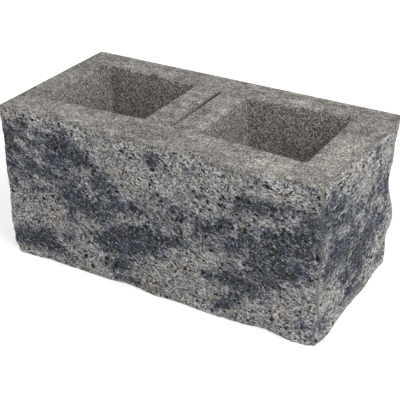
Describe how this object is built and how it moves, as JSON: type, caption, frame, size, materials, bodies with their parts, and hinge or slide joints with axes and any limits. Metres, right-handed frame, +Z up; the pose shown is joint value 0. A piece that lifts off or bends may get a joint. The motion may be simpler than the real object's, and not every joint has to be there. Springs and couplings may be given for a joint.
{
  "type": "concrete block",
  "caption": "Hollow concrete masonry block with tapered cores, a breaking kerf in its centre web, and rough split stone faces on its front and one end.",
  "frame": {"origin": "on the lower bed, at the middle of the moulded length and depth, under the kerf", "axes": "+X along the length towards the split end, +Y from the split front towards the moulded back, +Z up from bed to bed"},
  "size_m": [0.4036, 0.2035, 0.19],
  "materials": {
    "concrete": "matte"
  },
  "bodies": {
    "root": {"block": "concrete"}
  },
  "joints": []
}
